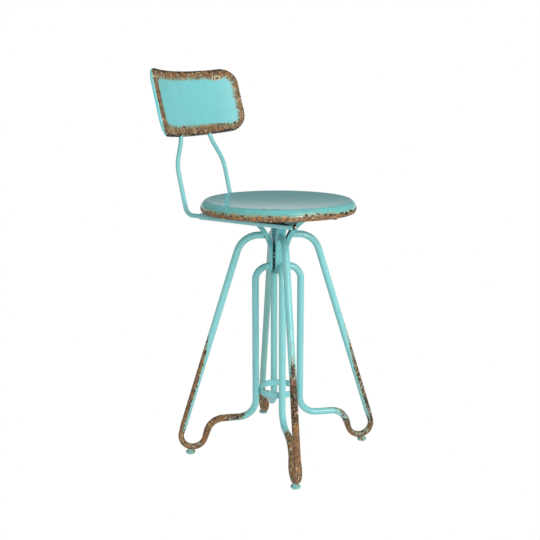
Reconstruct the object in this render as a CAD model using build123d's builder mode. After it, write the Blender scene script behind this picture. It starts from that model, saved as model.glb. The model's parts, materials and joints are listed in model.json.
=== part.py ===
from build123d import *
import os
from math import asin, atan2, cos, degrees, hypot, radians, sin, sqrt

# Bar stool: a round pressed seat on four bent tube legs, with a curved back panel
# on two rods that slide in sleeves under the seat. Millimetres, +Z up. The sitter
# faces -Y and has +X on the left. The origin is on the floor, in the middle of the
# stool's box.

os.makedirs("parts", exist_ok=True)

# Seat
seat_diameter = 400.0
seat_height = 682.0          # floor to the crest of the seat
seat_rim_height = 29.0       # crest down to the rim's bottom edge
seat_dish = 4.0              # how far the middle lies below the crest
rim_roll = 14.0              # radial width of the rolled edge, outside the crease
rim_widest_up = 9.5          # height of the widest line above the bottom edge
rim_tuck = 3.0               # the bottom edge lies this far inside the widest line
rim_lip = 12.0               # width of the lip turned in under the seat
sheet = 1.2                  # pressed steel sheet of the seat and the back
base_thickness = 2.0
base_clearance = 0.5         # seat base to the inside of the rim

# Hub arms: pressed channels with their open side to the axis
hub_radius = 24.2            # axis to the outer face of each upright web
arm_width = 23.2
arm_depth = 12.0
arm_wall = 2.5
arm_height = 163.0           # seat base down to the arm's foot
arm_reach = 148.0            # axis to the arm's tip
flare_radius = 106.0         # outer face of the bend
arm_edge_round = 2.0
tack_radius = 2.6
tack_heights = (7.0, 43.0, 52.0)   # above the arm's foot

# Legs: one bent tube each
tube_od = 18.2
tube_wall = 1.5
leg_top_drop = 64.0          # seat base down to the level run at the top
leg_top_radius = 94.8        # axis to the corner between the level run and the outer run
leg_top_bend = 59.0
foot_center_radius = 231.0   # axis to the centre of the foot's bend
foot_bend = 32.6
foot_flat = 15.0             # the foot's bend is flattened to this thickness
foot_wide = 22.0             # and spreads to this width
foot_taper = 20.0            # length over which round turns to flat
low_run_height = 93.5        # floor to the low level run
foot_straight = 2.2          # straight left between the foot's taper and the bend above it
low_bend = 46.0              # between the low run and the inner upright tube
inner_radius = 60.4          # axis to the inner upright tube
inner_top_bend = 36.0
inner_top_slope = 14.0       # last run up to the hub, degrees from level
inner_join_up = 17.0         # above the arm's foot to where the tube meets the web

# Ring and glides
ring_height = 16.0
ring_band = 4.0
ring_level = 167.0           # floor to the middle of the band
glide_diameter = 25.0
glide_pad = 6.0
glide_height = 9.8           # floor to the underside of the foot
glide_neck = 16.0
glide_radius = 239.0         # axis to the glide
glide_edge = 1.2
stem_radius = 3.5
stem_clearance = 0.2
stem_length = 9.0

# Sleeves, plugs and bolts
sleeve_od = 17.0
sleeve_rear = 178.0          # axis back to the sleeve's mouth
sleeve_front = 114.0         # axis forward to the sleeve's end
rod_spacing = 196.2
rod_diameter = 12.0
rod_clearance = 0.15
plug_length = 14.0
bolt_radius = 3.0
bolt_clearance = 0.2
bolt_reach = 114.0           # length of shank from the sleeve's end
bolt_head_radius = 7.0
bolt_head_height = 4.6
washer_radius = 7.6
washer_thickness = 1.2

# Back
rod_front = 68.0             # axis forward to the rod's end in the sleeve
rod_bore_depth = 98.0
elbow_back = 224.3           # axis back to the corner of the rod
elbow_bend = 25.0
lower_lean = 13.35           # degrees back from upright
lower_rise = 128.8           # sleeve axis up to the first corner of the S-bend
s_bend_rise = 69.0
s_bend_radius = 90.0
upper_spacing = 116.0
upper_lean = 14.0
panel_up = 91.6              # last corner up to the panel's middle, along the rods
rod_past = 52.0              # panel's middle up to the rods' ends
panel_chord = 356.0
panel_height = 176.0
panel_curve = 328.0          # radius of the front face
panel_corner = 46.0
panel_roll = 1.0             # degrees that the outline sits askew on the rods
panel_edge = 10.5            # depth of the turned edge
panel_round = 8.0            # rounding of the front edge
notch_clearance = 0.3        # round each rod where it passes the panel's bottom edge

# Worked out from the sizes above
seat_radius = seat_diameter / 2
rim_bottom = seat_height - seat_rim_height
base_under = rim_bottom + sheet
arm_under = base_under - arm_depth
arm_foot = base_under - arm_height
leg_top = base_under - leg_top_drop
sleeve_z = arm_under - sleeve_od / 2
sleeve_bore = rod_diameter / 2 + rod_clearance
rod_x = rod_spacing / 2
upper_x = upper_spacing / 2
tube_radius = tube_od / 2
foot_center_z = glide_height + foot_flat / 2 + foot_bend


def tangent(degrees):
    return sin(radians(degrees)) / cos(radians(degrees))


# The back's corners in the plane of the rods: distance behind the axis, and height
s_low = (elbow_back + lower_rise * tangent(lower_lean), sleeve_z + lower_rise)
s_high = (s_low[0] + s_bend_rise * tangent((lower_lean + upper_lean) / 2), s_low[1] + s_bend_rise)
lean_y = sin(radians(upper_lean))
lean_z = cos(radians(upper_lean))
panel_mid = (s_high[0] + panel_up * lean_y, s_high[1] + panel_up * lean_z)
rod_top = (panel_mid[0] + rod_past * lean_y, panel_mid[1] + rod_past * lean_z)

# The rods touch the panel's rear face, so this is how far the face's middle lies in front of them
rod_to_face = sqrt((panel_curve + sheet + rod_diameter / 2) ** 2 - upper_x**2) - panel_curve
rear_reach = panel_mid[0] + panel_height / 2 * lean_y + (panel_edge - rod_to_face) * lean_z
axis_y = (seat_radius - rear_reach) / 2

leg_angles = {"front_left": -45, "rear_left": 45, "rear_right": 135, "front_right": -135}
side_signs = {"left": 1, "right": -1}


def leg_plane(angle):
    """Upright plane through the axis: local x runs outwards, local y runs up."""
    out = Vector(cos(radians(angle)), sin(radians(angle)), 0)
    return Plane(origin=(0, axis_y, 0), x_dir=out, z_dir=Vector(out.Y, -out.X, 0))


def level_plane(height):
    return Plane(origin=(0, axis_y, height))


def save(piece, name):
    piece.part.label = name
    export_step(piece.part, f"parts/{name}.step")
    print(name, round(piece.part.volume), "mm3")


# Seat pan: dished top, a crease, a rolled rim and a lip turned in underneath
rim_widest = rim_bottom + rim_widest_up
lip_outer = seat_radius - rim_tuck
lip_inner = lip_outer - rim_lip
lip_seat = (lip_outer - sheet, base_under)
with BuildPart() as seat_pan:
    with BuildSketch(Plane(origin=(0, axis_y, 0), x_dir=(1, 0, 0), z_dir=(0, -1, 0))):
        with BuildLine():
            middle = Vector(0, seat_height - seat_dish)
            crest = Vector(seat_radius - rim_roll, seat_height)
            inward = Vector(0, -sheet)
            TangentArc(middle, crest, tangent=(1, 0))
            TangentArc((seat_radius, rim_widest), crest, tangent=(0, 1))
            TangentArc((seat_radius, rim_widest), (lip_outer, rim_bottom), tangent=(0, -1))
            Polyline((lip_outer, rim_bottom), (lip_inner, rim_bottom), (lip_inner, base_under), lip_seat)
            TangentArc((seat_radius - sheet, rim_widest), lip_seat, tangent=(0, -1))
            TangentArc((seat_radius - sheet, rim_widest), crest + inward, tangent=(0, 1))
            TangentArc(middle + inward, crest + inward, tangent=(1, 0))
            Line(middle + inward, middle)
        make_face()
    revolve(axis=Axis((0, axis_y, 0), (0, 0, 1)))
save(seat_pan, "seat_pan")

# Seat base: disc that rests on the lip and carries the pan
with BuildPart() as seat_base:
    with BuildSketch(level_plane(base_under)):
        Circle(lip_outer - sheet - base_clearance)
    extrude(amount=base_thickness)
save(seat_base, "seat_base")

# Hub arms: channels side by side round the axis, flaring out under the seat
web_path = [(hub_radius, arm_foot), (hub_radius, arm_under), (arm_reach, arm_under)]
half_width = arm_width / 2
half_gap = half_width - arm_wall
channel = [
    (-arm_depth, -half_width),
    (0, -half_width),
    (0, half_width),
    (-arm_depth, half_width),
    (-arm_depth, half_gap),
    (-arm_wall, half_gap),
    (-arm_wall, -half_gap),
    (-arm_depth, -half_gap),
]
for corner, angle in leg_angles.items():
    plane = leg_plane(angle)
    with BuildPart() as hub_arm:
        with BuildLine(plane):
            FilletPolyline(*web_path, radius=flare_radius)
        with BuildSketch(Plane(origin=plane.from_local_coords(web_path[0]), x_dir=plane.x_dir, z_dir=(0, 0, 1))):
            with BuildLine():
                FilletPolyline(*channel, radius=[0, arm_edge_round, arm_edge_round, 0, 0, 0, 0, 0], close=True)
            make_face()
        sweep()
    save(hub_arm, f"hub_arm_{corner}")

# Tack welds in the slits between the arms
tack_distance = (half_width + tack_radius / 2) * sqrt(2)
with BuildPart() as hub_welds:
    for height in tack_heights:
        with Locations(level_plane(arm_foot + height)):
            with PolarLocations(tack_distance, len(leg_angles)):
                Sphere(tack_radius)
save(hub_welds, "hub_welds")

# Corners of a leg in its plane: distance from the axis, and height. The outer run touches the foot's bend
corner_out = foot_center_radius - leg_top_radius
corner_up = leg_top - foot_center_z
leg_slant = degrees(atan2(corner_out, corner_up) + asin(foot_bend / hypot(corner_out, corner_up)))
leg_up = Vector(-sin(radians(leg_slant)), cos(radians(leg_slant)))
leg_out = Vector(cos(radians(leg_slant)), sin(radians(leg_slant)))
foot_center = Vector(foot_center_radius, foot_center_z)
heel_outer = foot_center + leg_out * foot_bend
heel_inner = foot_center - leg_out * foot_bend
foot_lowest = foot_center - leg_up * foot_bend
blend_outer = heel_outer + leg_up * foot_taper
blend_inner = heel_inner + leg_up * foot_taper
top_corner = heel_outer + leg_up * ((leg_top - heel_outer.Y) / leg_up.Y)
low_corner = heel_inner + leg_up * ((low_run_height - heel_inner.Y) / leg_up.Y)
join_z = arm_foot + inner_join_up
inner_corner = Vector(inner_radius, join_z - (inner_radius - hub_radius) * tangent(inner_top_slope))
inner_end = Vector(hub_radius - tube_radius, join_z + tube_radius * tangent(inner_top_slope))
upper_run = [Vector(hub_radius, leg_top), top_corner, blend_outer]
foot_room = (low_corner - blend_inner).length - foot_straight
rise_bend = foot_room / tangent((90 - leg_slant) / 2)
lower_run = [blend_inner, low_corner, Vector(inner_radius, low_run_height), inner_corner, inner_end]


def flat(point):
    """A leg's point as plain numbers, which a drawing on the leg's plane takes as its own."""
    return (point.X, point.Y)


def across(plane, point, along):
    """Plane square to a leg's run at a point, with local x across the leg's plane."""
    direction = plane.x_dir * along.X + plane.y_dir * along.Y
    return Plane(origin=plane.from_local_coords(flat(point)), x_dir=plane.z_dir, z_dir=direction)


def leg_form(plane, inset):
    """Solid along a leg's whole run, thinner than the tube by the inset all round."""
    with BuildPart() as form:
        for run, bends in ((upper_run, [leg_top_bend]), (lower_run, [rise_bend, low_bend, inner_top_bend])):
            with BuildLine(plane):
                FilletPolyline(*[flat(point) for point in run], radius=bends)
            with BuildSketch(across(plane, run[0], run[1] - run[0])):
                Circle(tube_radius - inset)
            sweep()
        for blend_point, heel in ((blend_outer, heel_outer), (blend_inner, heel_inner)):
            with BuildSketch(across(plane, blend_point, leg_up)):
                Circle(tube_radius - inset)
            with BuildSketch(across(plane, heel, leg_up)):
                Ellipse(foot_wide / 2 - inset, foot_flat / 2 - inset)
            loft()
        with BuildLine(plane):
            ThreePointArc(flat(heel_outer), flat(foot_lowest), flat(heel_inner))
        with BuildSketch(across(plane, heel_outer, leg_up)):
            Ellipse(foot_wide / 2 - inset, foot_flat / 2 - inset)
        sweep()
    return form.part


# Legs and their glides
foot_middle = glide_height + foot_flat / 2
for corner, angle in leg_angles.items():
    plane = leg_plane(angle)
    tube = leg_form(plane, 0)
    bore = leg_form(plane, tube_wall)
    floor_spot = Plane(origin=plane.from_local_coords((glide_radius, 0)))

    with BuildPart() as leg:
        add(tube)
        add(bore, mode=Mode.SUBTRACT)
        with BuildSketch(plane):
            with BuildLine():
                FilletPolyline(*web_path, radius=flare_radius)
                Polyline(web_path[-1], (arm_reach, base_under), (0, base_under), (0, arm_foot), web_path[0])
            make_face()
        extrude(amount=half_width, both=True, mode=Mode.SUBTRACT)
        with BuildSketch(floor_spot):
            Circle(stem_radius + stem_clearance)
        extrude(amount=foot_middle, mode=Mode.SUBTRACT)
    save(leg, f"leg_{corner}")

    with BuildPart() as glide:
        with BuildSketch(floor_spot):
            Circle(glide_diameter / 2)
        extrude(amount=glide_pad)
        chamfer(glide.edges(), length=glide_edge)
        with BuildSketch(floor_spot.offset(glide_pad)):
            Circle(glide_neck / 2)
        extrude(amount=foot_middle - glide_pad)
        add(tube, mode=Mode.SUBTRACT)
        with BuildSketch(floor_spot.offset(glide_pad)):
            Circle(stem_radius)
        extrude(amount=glide_height - glide_pad + stem_length)
    save(glide, f"glide_{corner}")

# Base ring: flat hoop inside the four inner tubes
ring_radius = inner_radius - tube_radius
with BuildPart() as base_ring:
    with BuildSketch(level_plane(ring_level - ring_height / 2)):
        Circle(ring_radius)
        Circle(ring_radius - ring_band, mode=Mode.SUBTRACT)
    extrude(amount=ring_height)
save(base_ring, "base_ring")

# Sleeves under the arms, each with a plug, a washer and a bolt at its front end
bolt_hole = bolt_radius + bolt_clearance
for side, sign in side_signs.items():
    mouth = Plane(origin=(sign * rod_x, axis_y - sleeve_front, sleeve_z), x_dir=(1, 0, 0), z_dir=(0, 1, 0))
    with BuildPart() as sleeve:
        with BuildSketch(mouth):
            Circle(sleeve_od / 2)
            Circle(sleeve_bore, mode=Mode.SUBTRACT)
        extrude(amount=sleeve_front + sleeve_rear)
    save(sleeve, f"sleeve_{side}")

    with BuildPart() as plug:
        with BuildSketch(mouth):
            Circle(sleeve_bore)
            Circle(bolt_hole, mode=Mode.SUBTRACT)
        extrude(amount=plug_length)
    save(plug, f"sleeve_plug_{side}")

    with BuildPart() as washer:
        with BuildSketch(mouth):
            Circle(washer_radius)
            Circle(bolt_hole, mode=Mode.SUBTRACT)
        extrude(amount=-washer_thickness)
    save(washer, f"bolt_washer_{side}")

    head = mouth.offset(-washer_thickness)
    with BuildPart() as bolt:
        with BuildSketch(Plane(origin=head.origin, x_dir=(1, 0, 0), z_dir=(0, 0, 1))):
            with BuildLine():
                dome = TangentArc((0, -bolt_head_height), (bolt_head_radius, 0), tangent=(1, 0))
                Polyline(dome @ 1, (0, 0), dome @ 0)
            make_face()
        revolve(axis=Axis(head.origin, (0, 1, 0)))
        with BuildSketch(head):
            Circle(bolt_radius)
        extrude(amount=bolt_reach)
    save(bolt, f"draw_bolt_{side}")

# Uprights: rods that slide in the sleeves and rise behind the panel
def rod_form(sign, growth):
    """Solid along the bent rod of one side, thicker than the rod by the growth all round."""
    corners = [
        (sign * rod_x, axis_y - rod_front, sleeve_z),
        (sign * rod_x, axis_y + elbow_back, sleeve_z),
        (sign * rod_x, axis_y + s_low[0], s_low[1]),
        (sign * upper_x, axis_y + s_high[0], s_high[1]),
        (sign * upper_x, axis_y + rod_top[0], rod_top[1]),
    ]
    with BuildPart() as form:
        with BuildLine():
            FilletPolyline(*corners, radius=[elbow_bend, s_bend_radius, s_bend_radius])
        with BuildSketch(Plane(origin=corners[0], x_dir=(1, 0, 0), z_dir=(0, 1, 0))):
            Circle(rod_diameter / 2 + growth)
        sweep()
    return form.part


for side, sign in side_signs.items():
    with BuildPart() as upright:
        add(rod_form(sign, 0))
        with BuildSketch(Plane(origin=(sign * rod_x, axis_y - rod_front, sleeve_z), z_dir=(0, 1, 0))):
            Circle(bolt_hole)
        extrude(amount=rod_bore_depth, mode=Mode.SUBTRACT)
    save(upright, f"upright_{side}")

# Backrest panel: curved sheet with rounded corners and its edge turned to the rear
face_mid = (0, axis_y + panel_mid[0] - rod_to_face * lean_z, panel_mid[1] + rod_to_face * lean_y)
face_plane = Plane(origin=face_mid, x_dir=(1, 0, 0), z_dir=(0, -lean_z, lean_y))
plan_plane = Plane(origin=face_mid, x_dir=(1, 0, 0), z_dir=(0, -lean_y, -lean_z))
curve_center = face_plane.from_local_coords((0, 0, panel_curve))


def panel_form(front_depth, rear_depth, inset, rounding):
    """Curved block between two depths behind the front face, rounded along its front edge."""
    with BuildPart() as form:
        with BuildSketch(plan_plane):
            with Locations((0, panel_curve)):
                Circle(panel_curve + rear_depth)
                Circle(panel_curve + front_depth, mode=Mode.SUBTRACT)
            Rectangle(2 * panel_curve, panel_curve, mode=Mode.INTERSECT)
        extrude(amount=panel_height, both=True)
        with BuildSketch(face_plane):
            RectangleRounded(
                panel_chord - 2 * inset, panel_height - 2 * inset, panel_corner - inset, rotation=panel_roll)
        extrude(amount=panel_curve, both=True, mode=Mode.INTERSECT)
        broad_faces = form.faces().sort_by(SortBy.AREA)[-2:]
        front = broad_faces.sort_by_distance(curve_center)[0]
        fillet(front.edges(), radius=rounding)
    return form.part


def rod_notch(sign):
    """Room for one rod where it passes the panel's bottom edge."""
    with BuildPart() as notch:
        add(rod_form(sign, notch_clearance))
        with BuildSketch(plan_plane.offset(panel_height / 2 - panel_round)):
            Rectangle(panel_chord, panel_curve)
        extrude(amount=2 * panel_round, mode=Mode.INTERSECT)
    return notch.part


with BuildPart() as backrest_panel:
    add(panel_form(0, panel_edge, 0, panel_round))
    hollow = panel_form(sheet, 2 * panel_edge, sheet, panel_round - sheet)
    add(hollow, mode=Mode.SUBTRACT)
    for sign in side_signs.values():
        add(rod_notch(sign), mode=Mode.SUBTRACT)
save(backrest_panel, "backrest_panel")
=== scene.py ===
import json
import math

import bpy
from mathutils import Matrix, Vector

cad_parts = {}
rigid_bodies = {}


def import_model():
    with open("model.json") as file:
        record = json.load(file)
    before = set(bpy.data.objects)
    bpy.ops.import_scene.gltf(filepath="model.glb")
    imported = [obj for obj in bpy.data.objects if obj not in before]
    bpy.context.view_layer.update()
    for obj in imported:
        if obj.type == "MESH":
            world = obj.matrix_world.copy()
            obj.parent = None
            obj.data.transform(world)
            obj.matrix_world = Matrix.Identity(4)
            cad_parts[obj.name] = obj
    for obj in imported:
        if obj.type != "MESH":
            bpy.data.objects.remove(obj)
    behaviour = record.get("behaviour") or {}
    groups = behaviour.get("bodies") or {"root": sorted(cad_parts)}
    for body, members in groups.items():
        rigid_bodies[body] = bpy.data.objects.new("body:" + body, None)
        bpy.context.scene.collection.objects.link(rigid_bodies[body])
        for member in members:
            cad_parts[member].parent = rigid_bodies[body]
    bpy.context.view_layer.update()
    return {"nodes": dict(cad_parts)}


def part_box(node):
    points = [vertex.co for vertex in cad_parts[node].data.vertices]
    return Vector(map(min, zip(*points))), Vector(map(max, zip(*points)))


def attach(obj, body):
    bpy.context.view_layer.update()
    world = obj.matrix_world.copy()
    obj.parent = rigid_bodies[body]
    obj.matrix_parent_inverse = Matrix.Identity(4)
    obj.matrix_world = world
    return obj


# Looks of the bar stool: worn turquoise paint over rusty steel, painted welds, bare bolts,
# a white studio and the camera. Metres, +Z up; the sitter faces -Y.

for leftover in list(bpy.data.objects):
    bpy.data.objects.remove(leftover)
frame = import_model()
nodes = frame["nodes"]
corners = {"front_left": -45, "rear_left": 45, "rear_right": 135, "front_right": -135}
sides = {"left": 1, "right": -1}

# Places read from the frame
seat_low, seat_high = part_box("seat_pan")
panel_low, panel_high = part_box("backrest_panel")
arm_low, arm_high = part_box("hub_arm_front_left")
bolt_low, bolt_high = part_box("draw_bolt_left")
bolt_middle = (bolt_low + bolt_high) / 2
axis_y = (seat_low.y + seat_high.y) / 2
axis = Vector((0, axis_y, 0))
rim_low = seat_low.z

# Directions: up, and the photograph's right and back on the level
upward = Vector((0, 0, 1))
photo_right = Vector((0.574, -0.819, 0))
photo_back = Vector((0.819, 0.574, 0))

# Sizes of the back panel and its rods
panel_lean = math.radians(14)
panel_roll = math.radians(1)
panel_chord = 0.356
panel_height = 0.176
panel_curve = 0.328
panel_corner = 0.046
panel_edge = 0.0105
panel_sheet = 0.0012
rod_radius = 0.006
rod_offset = 0.058
lean_y = math.sin(panel_lean)
lean_z = math.cos(panel_lean)
panel_up = Vector((0, lean_y, lean_z))
panel_front = Vector((0, -lean_z, lean_y))
panel_middle = Vector((
    0,
    panel_high.y - panel_height / 2 * lean_y - panel_edge * lean_z,
    panel_low.z + panel_height / 2 * lean_z + panel_edge * lean_y,
))

# Sizes of the seat, the hub and the leg tubes
crease_radius = 0.186
hub_radius = 0.0242
flare_radius = 0.106
arm_depth = 0.012
tube_radius = 0.0091
leg_top_drop = 0.064
inner_join_up = 0.017
inner_slope = math.radians(14)

# Sizes of the welds
bead_radius = 0.0017
bead_sides = 8
ring_ripples = 18
ripple_step = 2
ripple = 0.0004
dab_segments = 14
dab_rings = 8
slit_angles = (0, 90, 180, 270)
slit_weld_out = 0.0205
slit_weld_sizes = (0.0048, 0.0050, 0.0046)
stitch_rows = (-0.058, -0.005, 0.044)
stitch_aside = 0.0038
stitch_sink = 0.0012
stitch_sizes = (0.0024, 0.0085, 0.0018)


def srgb(red, green, blue):
    """Screen colour, 0 to 255, as a shader colour."""
    shares = [value / 255 for value in (red, green, blue)]
    return tuple(s / 12.92 if s <= 0.04045 else ((s + 0.055) / 1.055) ** 2.4 for s in shares) + (1.0,)


turquoise = srgb(122, 204, 207)
frame_turquoise = srgb(136, 208, 208)
pale_turquoise = srgb(158, 222, 220)
arm_turquoise = srgb(115, 199, 201)
grimy_turquoise = srgb(88, 160, 164)
rim_turquoise = srgb(108, 188, 188)
seat_teal = srgb(80, 176, 180)
olive_stain = srgb(128, 156, 118)
cream = srgb(226, 214, 176)
rust_brown = srgb(143, 106, 68)
# Near black of the dark chips, also the painted shade on the arms, sleeves and seat underside
rust_dark = srgb(98, 70, 46)
rust_orange = srgb(184, 126, 70)
rust_gold = srgb(184, 156, 98)
chip_and_shade_black = srgb(30, 27, 24)
bare_steel = srgb(205, 203, 198)
# Dark steel of the washers, also the painted dark reflection at the bolt dome's edge
dark_steel_and_dome_reflection = srgb(58, 54, 52)
# Painted shade for the seat's underside
underside_shade_grey = srgb(52, 50, 47)


class Finish:
    """One material, written down as steps from places on the piece to its colour."""

    def __init__(self, name):
        self.material = bpy.data.materials.new(name)
        self.material.use_nodes = True
        self.tree = self.material.node_tree
        self.shader = self.tree.nodes["Principled BSDF"]
        spot = self.node("ShaderNodeTexCoord")
        self.place = spot.outputs["Object"]
        self.facing = spot.outputs["Normal"]

    def node(self, kind, **settings):
        made = self.tree.nodes.new(kind)
        for setting, value in settings.items():
            setattr(made, setting, value)
        return made

    def feed(self, socket, value):
        if isinstance(value, bpy.types.NodeSocket):
            self.tree.links.new(value, socket)
        else:
            socket.default_value = value

    def math(self, operation, *values):
        made = self.node("ShaderNodeMath", operation=operation)
        for socket, value in zip(made.inputs, values):
            self.feed(socket, value)
        return made.outputs[0]

    def add(self, *values):
        total = values[0]
        for value in values[1:]:
            total = self.math("ADD", total, value)
        return total

    def times(self, *values):
        total = values[0]
        for value in values[1:]:
            total = self.math("MULTIPLY", total, value)
        return total

    def less(self, first, second):
        return self.math("SUBTRACT", first, second)

    def most(self, *values):
        largest = values[0]
        for value in values[1:]:
            largest = self.math("MAXIMUM", largest, value)
        return largest

    def rest_of(self, value):
        return self.less(1.0, value)

    def distance(self, first, second):
        """Distance that two steps at right angles make."""
        return self.math("SQRT", self.add(self.times(first, first), self.times(second, second)))

    def ramp(self, value, low, high, start=0.0, end=1.0):
        """Smooth step from start, at low, to end, at high."""
        made = self.node("ShaderNodeMapRange", interpolation_type="SMOOTHSTEP")
        for socket, given in zip(made.inputs, (value, low, high, start, end)):
            self.feed(socket, given)
        return made.outputs["Result"]

    def bell(self, value, low, start, end, high):
        """1 from start to end, fading to 0 at low and at high."""
        return self.times(self.ramp(value, low, start), self.ramp(value, high, end))

    def vector(self, operation, first, second=None):
        made = self.node("ShaderNodeVectorMath", operation=operation)
        self.feed(made.inputs[0], first)
        if second is not None:
            self.feed(made.inputs[1], second)
        scalar = operation in ("DOT_PRODUCT", "LENGTH")
        return made.outputs["Value" if scalar else "Vector"]

    def along(self, vector, way):
        """How far a place or a facing goes along the given way."""
        return self.vector("DOT_PRODUCT", vector, tuple(way))

    def split(self, vector):
        made = self.node("ShaderNodeSeparateXYZ")
        self.feed(made.inputs[0], vector)
        return made.outputs

    def noise(self, size, detail=3.0, roughness=0.55, place=None):
        """Cloudy value about 0.5, with lumps of the given size."""
        made = self.node("ShaderNodeTexNoise")
        self.feed(made.inputs["Vector"], place or self.place)
        made.inputs["Scale"].default_value = 1 / size
        made.inputs["Detail"].default_value = detail
        made.inputs["Roughness"].default_value = roughness
        return made.outputs["Fac"]

    def swing(self, noise, amount):
        """The noise about zero, times the amount."""
        return self.times(self.less(noise, 0.5), amount)

    def drift(self, size, amount):
        """Slow swing from place to place."""
        return self.swing(self.noise(size, detail=1.0), amount)

    def mix(self, share, first, second):
        made = self.node("ShaderNodeMix", data_type="RGBA")
        for socket, value in zip((made.inputs[0], made.inputs[6], made.inputs[7]), (share, first, second)):
            self.feed(socket, value)
        return made.outputs[2]

    def set(self, socket, value):
        self.feed(self.shader.inputs[socket], value)

    def bump(self, height, depth, strength):
        made = self.node("ShaderNodeBump")
        made.inputs["Strength"].default_value = strength
        made.inputs["Distance"].default_value = depth
        self.feed(made.inputs["Height"], height)
        self.set("Normal", made.outputs["Normal"])


# Places on a piece
def from_axis(finish):
    """Level place about the seat's axis."""
    x, y, height = finish.split(finish.vector("SUBTRACT", finish.place, tuple(axis)))
    level = finish.node("ShaderNodeCombineXYZ")
    finish.feed(level.inputs[0], x)
    finish.feed(level.inputs[1], y)
    return level.outputs[0]


def distance_out(finish):
    return finish.vector("LENGTH", from_axis(finish))


def outward_facing(finish):
    return finish.vector("DOT_PRODUCT", finish.facing, finish.vector("NORMALIZE", from_axis(finish)))


def rightward_of(finish):
    """Distance from the axis towards the right of the photograph."""
    return finish.along(from_axis(finish), photo_right)


def height_of(finish):
    return finish.split(finish.place)[2]


def upward_facing(finish):
    return finish.split(finish.facing)[2]


def panel_spot(finish):
    """Place on the panel, across and up from its middle and ahead of it."""
    turn = finish.node("ShaderNodeMapping")
    angle = panel_lean - math.pi / 2
    turned = Matrix.Rotation(-panel_roll, 3, "Z") @ Matrix.Rotation(angle, 3, "X")
    finish.feed(turn.inputs["Vector"], finish.place)
    turn.inputs["Rotation"].default_value = (angle, 0, -panel_roll)
    turn.inputs["Location"].default_value = -(turned @ panel_middle)
    return finish.split(turn.outputs[0])


def inside_panel(finish):
    """Distance in from the panel's outline."""
    across, up, ahead = panel_spot(finish)
    past_x = finish.less(finish.math("ABSOLUTE", across), panel_chord / 2 - panel_corner)
    past_y = finish.less(finish.math("ABSOLUTE", up), panel_height / 2 - panel_corner)
    corner = finish.distance(finish.most(past_x, 0.0), finish.most(past_y, 0.0))
    straight = finish.math("MINIMUM", finish.most(past_x, past_y), 0.0)
    return finish.less(panel_corner, finish.add(corner, straight))


def behind_panel(finish):
    """Depth behind the panel's curved front face."""
    across, up, ahead = panel_spot(finish)
    bulge = finish.math("SQRT", finish.less(panel_curve**2, finish.times(across, across)))
    return finish.less(finish.less(panel_curve, bulge), ahead)


# Wear runs from 0, whole paint, to 1, bare rust, and the paint gives way at one half.
# Here and below, a drift is a size and an amount, four values rise from none to full and fall again,
# and other pairs run from none to full, or from the first share to the second.
clean_patch = 0.09
clean_swing = 0.5
glide_worn = 0.38
glide_patch = 0.012
glide_swing = 1.9
rim_drift = (0.08, 0.018)
rim_rust = (0.0250, 0.0010)


def clean_wear(finish):
    """Painted pieces that rub on nothing."""
    return finish.swing(finish.noise(clean_patch), clean_swing)


def glide_wear(finish):
    """Patches of rust all over."""
    return finish.add(glide_worn, finish.swing(finish.noise(glide_patch), glide_swing))


def seat_wear(finish):
    """Rust along the lower part of the rim."""
    height = finish.add(height_of(finish), finish.drift(*rim_drift))
    return finish.ramp(height, rim_low + rim_rust[0], rim_low + rim_rust[1])


# Wear of the legs, by height, by distance out from the axis and by distance to the photograph's right.
# The run is the level stretch of tube above the foot.
leg_drift = (0.11, 0.14)
shin_heights = (0.42, 0.20)
shin_lag = -1.60
outer_facing = (-0.60, 0.55)
outer_tube = (0.120, 0.140)
outer_shift_heights = (0.20, 0.13)
outer_shift = 0.065
right_spread = (0.02, 0.16)
right_spread_most = 0.30
right_break = (0.04, 0.14)
run_break = (-0.05, 0.15)
broken_share = 0.66
foot_heights = (0.095, 0.045)
foot_top_facing = (0.10, 0.80)
foot_top_paint = 0.45
run_heights = (0.128, 0.115)
run_end = (0.212, 0.222)
run_reach = (0.115, 0.215)
run_top_reach = 0.020
run_right_reach = -0.12
left_leg = (-0.050, -0.100)
left_leg_reach = 0.056
leg_most_worn = 0.88


def leg_wear(finish):
    """Rust on the outer side of the lower leg, all round the foot, and along the run."""
    out = distance_out(finish)
    height = height_of(finish)
    up = upward_facing(finish)
    right = rightward_of(finish)
    drift = finish.drift(*leg_drift)
    rise = finish.ramp(finish.add(height, drift), *shin_heights, shin_lag, 0.0)
    spread = finish.ramp(right, *right_spread, 0.0, right_spread_most)
    wrap = finish.add(outward_facing(finish), rise, spread)
    past_run = finish.less(out, finish.ramp(height, *outer_shift_heights, 0.0, outer_shift))
    broken = finish.ramp(right, *right_break, 1.0, broken_share)
    outer = finish.times(finish.ramp(wrap, *outer_facing), finish.ramp(past_run, *outer_tube), broken)
    foot_top = finish.times(finish.ramp(up, *foot_top_facing), foot_top_paint)
    foot = finish.times(finish.ramp(height, *foot_heights), finish.rest_of(foot_top))
    on_run = finish.times(finish.ramp(height, *run_heights), finish.rest_of(finish.ramp(out, *run_end)))
    further = finish.ramp(right, *left_leg, 0.0, left_leg_reach)
    reach = finish.add(out, finish.times(up, run_top_reach), finish.times(right, run_right_reach),
                       drift, further)
    run = finish.times(finish.ramp(reach, *run_reach), finish.ramp(right, *run_break, 1.0, broken_share))
    worn = finish.most(outer, finish.most(foot, finish.times(on_run, run)))
    return finish.times(worn, leg_most_worn)


# Wear of the panel, by distance in from its outline, by depth behind its face and by facing
front_facing = (0.05, 0.45)
rear_facing = (-0.30, -0.70)
end_facing = (0.10, 0.50)
panel_drift = (0.12, 0.012)
panel_band = (0.0360, 0.0100)
near_end = (-0.115, -0.165)
near_end_narrower = -0.019
panel_crest = (0.0085, 0.0015)
panel_crest_most = 0.85
rear_band = (0.013, 0.001)
scuff_across = 0.112
scuff_up = 0.063
scuff_flat = 2.0
scuff_fade = (0.026, 0.006)
scuff_wear = 0.42


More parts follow.
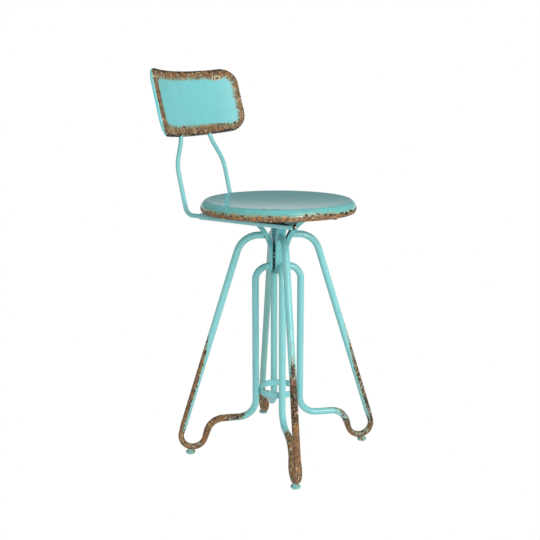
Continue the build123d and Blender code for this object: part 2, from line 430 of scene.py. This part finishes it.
def end_wall(finish):
    """1 on the turned edge at the panel's two ends, which keeps its paint."""
    across, up, ahead = panel_spot(finish)
    sideways = finish.times(finish.split(finish.facing)[0], finish.math("SIGN", across))
    return finish.ramp(sideways, *end_facing)


def scuff_of(finish):
    """1 in the middle of the scuff at the top of the panel's face, fading outwards."""
    across, up, ahead = panel_spot(finish)
    above = finish.times(finish.less(up, scuff_up), scuff_flat)
    away = finish.distance(finish.less(across, scuff_across), above)
    front = finish.ramp(finish.along(finish.facing, panel_front), *front_facing)
    return finish.times(finish.ramp(away, *scuff_fade), front)


def panel_wear(finish):
    """Rust in a band round the front face and along the crest of the turned edge."""
    across, up, ahead = panel_spot(finish)
    inside = inside_panel(finish)
    forward = finish.along(finish.facing, panel_front)
    front = finish.ramp(forward, *front_facing)
    back = finish.ramp(forward, *rear_facing)
    drift = finish.drift(*panel_drift)
    narrower = finish.ramp(across, *near_end, 0.0, near_end_narrower)
    band = finish.ramp(finish.add(inside, drift, narrower), *panel_band)
    band = finish.add(band, finish.times(scuff_of(finish), scuff_wear))
    crest = finish.times(finish.ramp(behind_panel(finish), *panel_crest), panel_crest_most)
    worn_back = finish.ramp(finish.add(inside, drift), *rear_band)
    edge = finish.add(finish.times(crest, finish.rest_of(back)), finish.times(worn_back, back))
    worn = finish.add(finish.times(band, front), finish.times(edge, finish.rest_of(front)))
    return finish.times(worn, finish.rest_of(end_wall(finish)))


# How thick the dark chips lie, from 0 to 1, given how worn the place is
leg_chip_wear = (0.26, 0.42, 0.62, 0.86)
leg_chip_heights = (0.37, 0.27)
leg_chip_shares = (0.84, 0.80)
foot_chip_heights = (0.030, 0.075)
foot_chip_shares = (0.45, 1.0)
shin_knock_heights = (0.150, 0.185, 0.250, 0.280)
shin_knock_wear = (0.30, 0.50)
shin_knock_share = 0.80
nearest_leg = (0.08, 0.13)
weld_pit_size = 0.010
weld_pits = (0.46, 0.60)
weld_pit_share = 0.75
rim_chip_wear = (0.26, 0.42, 0.60, 0.80)
rim_right = (0.09, 0.125)
rim_chip_shares = (0.42, 0.95)
crease_knock_size = 0.030
crease_knocks = (0.60, 0.66)
crest_chips = (0.0110, 0.0030)
near_crest = (-0.172, -0.150)
near_crest_shares = (0.60, 1.0)
panel_chip_wear = (0.30, 0.44, 0.54, 0.70)
panel_chip_share = 0.30
scuff_chip_share = 0.55


def no_chips(finish, worn):
    """Pieces without chips."""
    return 0.0


def border_chips(finish, worn):
    """Chips where the paint gives way to rust, and on the shin of the nearest leg."""
    height = height_of(finish)
    few = finish.ramp(rightward_of(finish), *right_break, *leg_chip_shares)
    above_foot = finish.ramp(height, *foot_chip_heights, *foot_chip_shares)
    band = finish.times(finish.ramp(height, *leg_chip_heights), above_foot, few)
    border = finish.times(finish.bell(worn, *leg_chip_wear), band)
    near = finish.ramp(finish.along(from_axis(finish), -photo_back), *nearest_leg)
    knocks = finish.times(finish.bell(height, *shin_knock_heights), near, shin_knock_share)
    return finish.most(border, finish.times(knocks, finish.ramp(worn, *shin_knock_wear)))


def weld_chips(finish, worn):
    """Dark pits in the welds."""
    return finish.ramp(finish.noise(weld_pit_size, detail=1.0), *weld_pits, 0.0, weld_pit_share)


def seat_chips(finish, worn):
    """Chips on the rim's right and a few along the crease."""
    right = finish.ramp(rightward_of(finish), *rim_right, *rim_chip_shares)
    rim = finish.times(finish.bell(worn, *rim_chip_wear), right)
    knock = finish.ramp(finish.noise(crease_knock_size, detail=1.0), *crease_knocks)
    return finish.most(rim, finish.times(crease_of(finish), knock))


def panel_chips(finish, worn):
    """Dark along the panel's crest, least at the end that is nearest in the photograph."""
    across, up, ahead = panel_spot(finish)
    away_from_end = finish.ramp(across, *near_crest, *near_crest_shares)
    off_ends = finish.rest_of(end_wall(finish))
    crest = finish.times(finish.ramp(inside_panel(finish), *crest_chips), off_ends, away_from_end)
    border = finish.times(finish.bell(worn, *panel_chip_wear), panel_chip_share)
    return finish.most(crest, finish.most(border, finish.times(scuff_of(finish), scuff_chip_share)))


# Paint colours that change over a piece, and painted shade on the arms and sleeves
crease_half = 0.0006
crease_fade = 0.0022
crease_rust = 0.35
top_edge = (-0.0005, 0.0015)
# Painted shade on the arms: dark low in the channels and slits, and along the tops under the seat
channel_shade_heights = (0.080, 0.062)
channel_shade_facing = (-0.15, -0.35)
slit_shade_radii = (0.0212, 0.0198)
arm_shade_heights = (-0.002, 0.003)
arm_shade_share = 0.75
# Painted shade along the sleeves' tops under the seat
sleeve_shade_reach = (0.160, 0.140)
sleeve_shade_facing = (0.20, 0.36)
back_leg = (0.030, 0.120)
back_leg_stain = 0.32


def frame_coat(finish):
    return frame_turquoise


def panel_coat(finish):
    return turquoise


def crease_of(finish):
    """1 on the thin line where the seat's top meets its rim."""
    steps = (-crease_fade, -crease_half, crease_half, crease_fade)
    return finish.bell(distance_out(finish), *(crease_radius + step for step in steps))


def seat_coat(finish):
    """Deeper and greyer on the top than on the rim, with a brown line at the crease."""
    rim = finish.ramp(distance_out(finish), crease_radius + top_edge[0], crease_radius + top_edge[1])
    coat = finish.mix(finish.rest_of(rim), rim_turquoise, seat_teal)
    return finish.mix(finish.times(crease_of(finish), crease_rust), coat, rust_brown)


def arm_coat(finish):
    """Painted shade: dark low in the channels and slits, and where the arm spreads under the seat."""
    height = height_of(finish)
    low = finish.ramp(height, arm_low.z + channel_shade_heights[0], arm_low.z + channel_shade_heights[1])
    inside = finish.most(finish.ramp(outward_facing(finish), *channel_shade_facing),
                         finish.ramp(distance_out(finish), *slit_shade_radii))
    coat = finish.mix(finish.times(inside, low), arm_turquoise, chip_and_shade_black)
    spread_z = arm_high.z - arm_depth
    top = finish.ramp(height, spread_z + arm_shade_heights[0], spread_z + arm_shade_heights[1])
    return finish.mix(finish.times(top, arm_shade_share), coat, chip_and_shade_black)


def sleeve_coat(finish):
    """Painted shade along the top, close under the seat."""
    under = finish.ramp(distance_out(finish), *sleeve_shade_reach)
    top = finish.ramp(upward_facing(finish), *sleeve_shade_facing)
    return finish.mix(finish.times(top, under), frame_turquoise, chip_and_shade_black)


def leg_coat(finish):
    """Stained on the leg that stands at the back of the photograph."""
    back = finish.along(from_axis(finish), photo_back)
    return finish.mix(finish.ramp(back, *back_leg, 0.0, back_leg_stain), frame_turquoise, olive_stain)


def no_cream(finish):
    """Pieces without a scuff."""
    return 0.0


# Sizes of the grain in paint and rust
coarse_size = 0.014
fine_size = 0.0030
mottle_size = 0.008
patch_size = 0.024
grime_size = 0.05
grime_squeeze = 0.3
spot_size = 0.0050
kept_size = 0.0085

# Levels of wear and of grain at which the paint changes, and how much each change shows
coarse_swing = 0.7
fine_wear = (0.05, 0.35)
bare_wear = (0.49, 0.53)
pale_patches = (0.35, 0.65)
pale_share = 0.10
grime_runs = (0.50, 0.75)
stain_from = 0.40
stain_widening = 0.6
stain_full = 0.48
gold_wear = (0.36, 0.47)
gold_share = 0.70
undercoat_wear = (0.435, 0.460)
undercoat_patches = (0.42, 0.52)
undercoat_share = 0.85
brown_mottle = (0.40, 0.62)
orange_grain = (0.50, 0.66)
rust_edge_wear = (0.62, 0.52)
rust_edge_share = 0.55
fleck_patches = (0.47, 0.56)
fleck_chips = (0.50, 0.90)
fleck_wear = (0.44, 0.54)
fleck_step = 0.04
scrape_swing = 1.4
scrape_edge = (0.50, 0.66)
scrape_spots = (0.44, 0.49)
kept_wear = (0.40, 0.52, 0.78, 0.95)
kept_step = 0.03
kept_stain = 0.45
chip_gain = 0.16
chip_spots = (0.615, 0.645)
chip_start = (0.04, 0.20)
rust_roughness = 0.62
fine_roughness = 0.08
undercoat_sink = -0.3
rust_pits = 0.5
paint_depth = 0.00025
paint_bump = 0.6


def worn_paint(name, wear_of, chips_of=no_chips, coat_of=frame_coat, cream_of=no_cream,
               gloss=0.20, orange=0.45, grain=1.1, streak=1.0, stain=0.5, flecks=0.63,
               chip_size=0.0065, grime=0.35, kept=0.33):
    """Turquoise paint that has chipped through cream undercoat to rust."""
    finish = Finish(name)
    drawn = finish.vector("MULTIPLY", finish.place, (1, 1, 1 / streak))
    hanging = finish.vector("MULTIPLY", finish.place, (1, 1, grime_squeeze))
    coarse = finish.noise(coarse_size, detail=3.0, place=drawn)
    fine = finish.noise(fine_size, detail=5.0, roughness=0.70, place=drawn)
    mottle = finish.noise(mottle_size, detail=4.0, roughness=0.7, place=drawn)
    patch = finish.noise(patch_size, detail=2.0)
    runs = finish.noise(grime_size, detail=4.0, roughness=0.65, place=hanging)
    spots = finish.noise(spot_size, detail=2.0, place=drawn)
    keeping = finish.noise(kept_size, detail=3.0, place=drawn)
    chipping = finish.noise(chip_size, detail=3.0, roughness=0.6, place=drawn)

    # How worn each place is
    soft = finish.add(wear_of(finish), finish.swing(coarse, coarse_swing))
    ragged = finish.add(soft, finish.times(finish.swing(fine, grain), finish.ramp(soft, *fine_wear)))
    bare = finish.ramp(ragged, *bare_wear)
    undercoat = finish.times(finish.ramp(ragged, *undercoat_wear),
                             finish.ramp(patch, *undercoat_patches), undercoat_share)

    # Paint, paler in patches, with runs of grime, and stained towards the rust
    pale = finish.times(finish.ramp(patch, *pale_patches), pale_share)
    fresh = finish.mix(pale, coat_of(finish), pale_turquoise)
    fresh = finish.mix(finish.times(finish.ramp(runs, *grime_runs), grime), fresh, grimy_turquoise)
    stained = finish.times(finish.ramp(soft, stain_from - stain_widening * stain, stain_full), stain)
    coat = finish.mix(stained, fresh, olive_stain)
    coat = finish.mix(finish.times(finish.ramp(ragged, *gold_wear), gold_share), coat, rust_gold)

    # Rust, dark and brown, orange in places and golden at its edge
    rust = finish.mix(finish.ramp(mottle, *brown_mottle), rust_dark, rust_brown)
    rust = finish.mix(finish.times(finish.ramp(coarse, *orange_grain), orange), rust, rust_orange)
    rust = finish.mix(finish.times(finish.ramp(ragged, *rust_edge_wear), rust_edge_share), rust, rust_gold)

    # Cream flecks, paint that has kept in the rust, and dark chips
    thick = chips_of(finish, soft)
    showing = finish.most(finish.ramp(patch, *fleck_patches), finish.ramp(thick, *fleck_chips))
    fleck = finish.times(finish.ramp(spots, flecks, flecks + fleck_step),
                         finish.ramp(ragged, *fleck_wear), showing)
    torn = finish.add(cream_of(finish), finish.swing(coarse, scrape_swing))
    scraped = finish.times(finish.ramp(spots, *scrape_spots), finish.ramp(torn, *scrape_edge))
    paint_kept = finish.times(finish.ramp(keeping, kept, kept - kept_step), finish.bell(soft, *kept_wear))
    chip = finish.times(finish.ramp(finish.add(chipping, finish.times(thick, chip_gain)), *chip_spots),
                        finish.ramp(thick, *chip_start))

    colour = finish.mix(undercoat, coat, cream)
    colour = finish.mix(bare, colour, rust)
    colour = finish.mix(paint_kept, colour, finish.mix(kept_stain, fresh, coat))
    colour = finish.mix(finish.most(fleck, scraped), colour, cream)
    colour = finish.mix(chip, colour, chip_and_shade_black)
    finish.set("Base Color", colour)
    rough = finish.ramp(finish.most(bare, chip), 0.0, 1.0, gloss, rust_roughness)
    finish.set("Roughness", finish.add(rough, finish.times(finish.swing(fine, fine_roughness), bare)))
    thickness = finish.add(finish.rest_of(bare), finish.times(undercoat, undercoat_sink),
                           finish.times(finish.swing(mottle, rust_pits), bare))
    finish.bump(thickness, paint_depth, paint_bump)
    return finish.material


# Bare metal, and painted shade under the seat
mark_size = 0.0012
mark_levels = (0.3, 0.7)
mark_shade = 0.75
mark_roughness = 0.12
mark_depth = 0.00003
mark_bump = 0.5
washer_roughness = 0.45
dome_reflection_radii = (0.0030, 0.0058)
dome_roughness = 0.16
underside_shade_patch = 0.03
underside_shade_levels = (0.35, 0.65)
underside_roughness = 0.7


def shaded(colour, gain):
    return tuple(min(1.0, part * gain) for part in colour[:3]) + (1.0,)


def turned_steel(name, colour, roughness):
    """Bare metal with turning marks."""
    finish = Finish(name)
    marks = finish.noise(mark_size, detail=4.0)
    darker = shaded(colour, mark_shade)
    finish.set("Base Color", finish.mix(finish.ramp(marks, *mark_levels), colour, darker))
    finish.set("Metallic", 1.0)
    finish.set("Roughness", finish.ramp(marks, *mark_levels, roughness, roughness + mark_roughness))
    finish.bump(marks, mark_depth, mark_bump)
    return finish.material


def bolt_steel():
    """Polished dome with a painted dark reflection towards its edge."""
    finish = Finish("bolt_steel")
    x, y, z = finish.split(finish.place)
    aside = finish.less(finish.math("ABSOLUTE", x), bolt_middle.x)
    out = finish.distance(aside, finish.less(z, bolt_middle.z))
    finish.set("Base Color", finish.mix(finish.ramp(out, *dome_reflection_radii), bare_steel, dark_steel_and_dome_reflection))
    finish.set("Metallic", 1.0)
    finish.set("Roughness", dome_roughness)
    return finish.material


def underside_shade():
    """Painted shade over the underside of the seat, dark in patches."""
    finish = Finish("underside_shade")
    patch = finish.noise(underside_shade_patch, detail=4.0)
    finish.set("Base Color", finish.mix(finish.ramp(patch, *underside_shade_levels), chip_and_shade_black, underside_shade_grey))
    finish.set("Roughness", underside_roughness)
    return finish.material


def paint_nodes():
    """Each CAD node gets the finish whose name its own name starts with."""
    finishes = {
        "seat_pan": worn_paint("seat_paint", seat_wear, seat_chips, seat_coat, gloss=0.15, orange=0.8,
                               grain=2.4, stain=0.75, grime=0.08, chip_size=0.008),
        "seat_base": underside_shade(),
        "backrest_panel": worn_paint("panel_paint", panel_wear, panel_chips, panel_coat, scuff_of,
                                     gloss=0.32, grain=3.4, stain=0.6, flecks=0.59, grime=0.08),
        "hub_arm": worn_paint("arm_paint", clean_wear, coat_of=arm_coat, stain=0.3),
        "hub_welds": worn_paint("weld_paint", clean_wear, weld_chips),
        "base_ring": worn_paint("frame_paint", clean_wear, stain=0.3),
        "sleeve": worn_paint("sleeve_paint", clean_wear, coat_of=sleeve_coat),
        "leg": worn_paint("leg_paint", leg_wear, border_chips, leg_coat, grain=2.3, streak=1.4, stain=0.55,
                          chip_size=0.0042, kept=0.39),
        "glide": worn_paint("glide_paint", glide_wear, orange=0.9),
        "upright": worn_paint("rod_paint", clean_wear, stain=0.3),
        "bolt_washer": turned_steel("washer_steel", dark_steel_and_dome_reflection, washer_roughness),
        "draw_bolt": bolt_steel(),
    }
    for name, node in nodes.items():
        kind = max((key for key in finishes if name.startswith(key)), key=len)
        node.data.materials.clear()
        node.data.materials.append(finishes[kind])
    return finishes


finishes = paint_nodes()


# Welds: beads that are modelled once and copied to each joint
def ripple_rings(piece):
    """Swells every second ring of the bead."""
    for vertex in piece.data.vertices:
        vertex.select = (vertex.index // bead_sides) % ripple_step == 0
    bpy.ops.object.mode_set(mode="EDIT")
    bpy.ops.mesh.select_mode(type="VERT")
    bpy.ops.transform.shrink_fatten(value=ripple)
    bpy.ops.object.mode_set(mode="OBJECT")


def smooth_bead(piece):
    modifier = piece.modifiers.new("round", "SUBSURF")
    modifier.levels = 1
    modifier.render_levels = 1
    bpy.ops.object.modifier_apply(modifier=modifier.name)
    bpy.ops.object.shade_smooth()


def ring_bead():
    """Rippled bead round a tube's end, about +Z, at the tube's own radius."""
    bpy.ops.object.select_all(action="DESELECT")
    bpy.ops.mesh.primitive_torus_add(
        major_segments=ripple_step * ring_ripples, minor_segments=bead_sides,
        major_radius=tube_radius, minor_radius=bead_radius)
    piece = bpy.context.object
    bpy.ops.object.mode_set(mode="EDIT")
    bpy.ops.mesh.select_all(action="DESELECT")
    bpy.ops.object.mode_set(mode="OBJECT")
    ripple_rings(piece)
    smooth_bead(piece)
    return piece


def dab_bead():
    """Smooth blob of weld with a radius of 1, which each copy squeezes to its size."""
    bpy.ops.object.select_all(action="DESELECT")
    bpy.ops.mesh.primitive_uv_sphere_add(segments=dab_segments, ring_count=dab_rings, radius=1.0)
    piece = bpy.context.object
    bpy.ops.object.shade_smooth()
    return piece


def copy_to(pattern, name, place, body):
    """A copy of a bead with its own mesh, moved to its place, which rides on the body."""
    piece = bpy.data.objects.new(name, pattern.data.copy())
    bpy.context.scene.collection.objects.link(piece)
    piece.data.transform(place)
    piece.data.materials.clear()
    piece.data.materials.append(finishes["hub_welds"])
    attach(piece, body)


def turned_to(middle, along, upright, sizes):
    """Matrix that puts a bead's +Z along one way and its +Y along another, at the given sizes."""
    z = along.normalized()
    x = upright.cross(z).normalized()
    y = z.cross(x)
    turn = Matrix((x, y, z)).transposed().to_4x4()
    return Matrix.Translation(middle) @ turn @ Matrix.Diagonal((*sizes, 1))


def outward_of(angle):
    return Vector((math.cos(math.radians(angle)), math.sin(math.radians(angle)), 0))


def weld_legs():
    """A bead round each end of each leg, where it meets the hub."""
    pattern = ring_bead()
    top_z = arm_high.z - leg_top_drop
    flare_start = arm_high.z - arm_depth - flare_radius
    tilt = math.asin((top_z - flare_start) / flare_radius)
    top_out = hub_radius + flare_radius * (1 - math.cos(tilt))
    top_sizes = (1, 1 / math.cos(tilt), 1)
    join_z = arm_low.z + inner_join_up
    join_sizes = (1, 1 / math.cos(inner_slope), 1)
    for corner, angle in corners.items():
        out = outward_of(angle)
        top = axis + out * top_out + upward * top_z
        web = out * math.cos(tilt) - upward * math.sin(tilt)
        copy_to(pattern, f"weld_leg_top_{corner}", turned_to(top, web, upward, top_sizes), "frame")
        join = axis + out * hub_radius + upward * join_z
        copy_to(pattern, f"weld_leg_end_{corner}", turned_to(join, out, upward, join_sizes), "frame")
    bpy.data.objects.remove(pattern)


def weld_slits():
    """A blob at the foot of each slit between two arms."""
    pattern = dab_bead()
    for angle in slit_angles:
        out = outward_of(angle)
        foot = axis + out * slit_weld_out + upward * arm_low.z
        copy_to(pattern, f"weld_slit_{angle}", turned_to(foot, out, upward, slit_weld_sizes), "frame")
    bpy.data.objects.remove(pattern)


def weld_rods():
    """Short welds on both sides of each rod, along the panel's rear face."""
    pattern = dab_bead()
    face_gap = math.sqrt((panel_curve + panel_sheet + rod_radius) ** 2 - rod_offset**2) - panel_curve
    for side, sign in sides.items():
        for row, up in enumerate(stitch_rows):
            rod = panel_middle - panel_front * face_gap + panel_up * up + Vector((sign * rod_offset, 0, 0))
            toward = (panel_middle + panel_front * panel_curve + panel_up * up - rod).normalized()
            across = panel_up.cross(toward)
            for edge, edge_sign in enumerate((-1, 1)):
                spot = rod + toward * (rod_radius - stitch_sink) + across * edge_sign * stitch_aside
                place = turned_to(spot, toward, panel_up, stitch_sizes)
                copy_to(pattern, f"weld_rod_{side}_{row}_{edge}", place, "backrest")
    bpy.data.objects.remove(pattern)


weld_legs()
weld_slits()
weld_rods()

# Studio: strengths of the light, and the places of the camera and the lamps
white = (1, 1, 1, 1)
ambient_behind = 0.40
ambient_ahead = 0.70
sky_heights = (0.05, 0.15)
sky_strengths = (0.88, 0.23)
floor_size = 14.0
floor_grey = (0.9, 0.9, 0.9, 1)
floor_roughness = 0.9
floor_fade = (0.1, 0.9)
floor_strengths = (1.0, 0.15)
camera_spot = Vector((-1.6624, axis_y - 1.1379, 0.9443))
camera_look = Vector((0.7996, 0.5599, -0.2174))
camera_lens = 52.62
camera_sensor = 36.0
camera_right = camera_look.cross(upward).normalized()
lamp_target = Vector((0, axis_y, 0.55))
key_lamp = {"ahead": 1.6, "aside": 1.7, "above": 1.2, "size": 1.6, "watts": 24.0}
front_lamp = {"ahead": 1.9, "aside": 1.1, "above": 0.0, "size": 0.35, "watts": 13.0}


def joined(tree, operation, first, second):
    """Two values put together by the given operation."""
    made = tree.nodes.new("ShaderNodeMath")
    made.operation = operation
    tree.links.new(first, made.inputs[0])
    tree.links.new(second, made.inputs[1])
    return made.outputs[0]


def along_way(tree, spot, way):
    """How far a place lies along the given way."""
    made = tree.nodes.new("ShaderNodeVectorMath")
    made.operation = "DOT_PRODUCT"
    tree.links.new(spot, made.inputs[0])
    made.inputs[1].default_value = way
    return made.outputs["Value"]


def ranged(tree, value, low, high, start, end, kind="LINEAR"):
    """A value that runs from start, at low, to end, at high."""
    made = tree.nodes.new("ShaderNodeMapRange")
    made.interpolation_type = kind
    for socket, given in zip(made.inputs[1:5], (low, high, start, end)):
        socket.default_value = given
    tree.links.new(value, made.inputs[0])
    return made.outputs[0]


def studio_world():
    """Soft light, stronger from the front. The camera sees white, and gloss sees grey above the horizon."""
    world = bpy.data.worlds.new("studio")
    bpy.context.scene.world = world
    world.use_nodes = True
    tree = world.node_tree
    path = tree.nodes.new("ShaderNodeLightPath")
    spot = tree.nodes.new("ShaderNodeTexCoord").outputs["Generated"]
    height = along_way(tree, spot, upward)
    sky = ranged(tree, height, *sky_heights, *sky_strengths, kind="SMOOTHSTEP")
    ahead = along_way(tree, spot, -photo_back)
    ambient = ranged(tree, ahead, -1.0, 1.0, ambient_behind, ambient_ahead)
    mirrored = joined(tree, "MAXIMUM", path.outputs["Is Glossy Ray"], path.outputs["Is Transmission Ray"])
    shown = tree.nodes.new("ShaderNodeMix")
    tree.links.new(mirrored, shown.inputs[0])
    tree.links.new(ambient, shown.inputs[2])
    tree.links.new(sky, shown.inputs[3])
    strength = tree.nodes.new("ShaderNodeMix")
    tree.links.new(path.outputs["Is Camera Ray"], strength.inputs[0])
    tree.links.new(shown.outputs[0], strength.inputs[2])
    strength.inputs[3].default_value = 1.0
    background = tree.nodes["Background"]
    tree.links.new(strength.outputs[0], background.inputs["Strength"])
    background.inputs["Color"].default_value = white


def studio_floor():
    """Pale floor. The camera sees it white from above and looks through it from below,
    and gloss sees it darken rearwards."""
    bpy.ops.object.select_all(action="DESELECT")
    bpy.ops.mesh.primitive_plane_add(size=floor_size)
    floor = bpy.context.object
    floor.name = "studio_floor"
    material = bpy.data.materials.new("studio_floor")
    material.use_nodes = True
    tree = material.node_tree
    shader = tree.nodes["Principled BSDF"]
    shader.inputs["Base Color"].default_value = floor_grey
    shader.inputs["Roughness"].default_value = floor_roughness
    shader.inputs["Specular IOR Level"].default_value = 0.0
    path = tree.nodes.new("ShaderNodeLightPath")
    spot = tree.nodes.new("ShaderNodeTexCoord").outputs["Object"]
    darker = ranged(tree, along_way(tree, spot, photo_back), *floor_fade, *floor_strengths)
    mirrored = joined(tree, "MULTIPLY", path.outputs["Is Glossy Ray"], darker)
    seen = joined(tree, "MAXIMUM", path.outputs["Is Camera Ray"], mirrored)
    seen = joined(tree, "MAXIMUM", seen, path.outputs["Is Transmission Ray"])
    above = tree.nodes.new("ShaderNodeMixShader")
    tree.links.new(seen, above.inputs[0])
    tree.links.new(shader.outputs[0], above.inputs[1])
    tree.links.new(tree.nodes.new("ShaderNodeEmission").outputs[0], above.inputs[2])
    either = tree.nodes.new("ShaderNodeMixShader")
    tree.links.new(tree.nodes.new("ShaderNodeNewGeometry").outputs["Backfacing"], either.inputs[0])
    tree.links.new(above.outputs[0], either.inputs[1])
    tree.links.new(tree.nodes.new("ShaderNodeBsdfTransparent").outputs[0], either.inputs[2])
    tree.links.new(either.outputs[0], tree.nodes["Material Output"].inputs["Surface"])
    floor.data.materials.append(material)


def studio_lamp(name, ahead, aside, above, size, watts):
    """Square soft lamp, placed from the middle of the stool towards the camera, and pointed at it."""
    spot = lamp_target - camera_look * ahead + camera_right * aside + upward * above
    lamp = bpy.data.lights.new(name, "AREA")
    lamp.size = size
    lamp.energy = watts
    holder = bpy.data.objects.new(name, lamp)
    bpy.context.scene.collection.objects.link(holder)
    holder.location = spot
    holder.rotation_euler = (lamp_target - spot).to_track_quat("-Z", "Y").to_euler()


def photo_camera():
    """Camera at the photograph's place, which looks along its viewing direction."""
    camera = bpy.data.objects.new("camera", bpy.data.cameras.new("camera"))
    bpy.context.scene.collection.objects.link(camera)
    camera.location = camera_spot
    camera.rotation_euler = camera_look.to_track_quat("-Z", "Y").to_euler()
    camera.data.lens = camera_lens
    camera.data.sensor_width = camera_sensor
    bpy.context.scene.camera = camera


studio_world()
studio_floor()
studio_lamp("key_lamp", **key_lamp)
studio_lamp("front_lamp", **front_lamp)
photo_camera()
bpy.context.scene.view_settings.view_transform = "Standard"
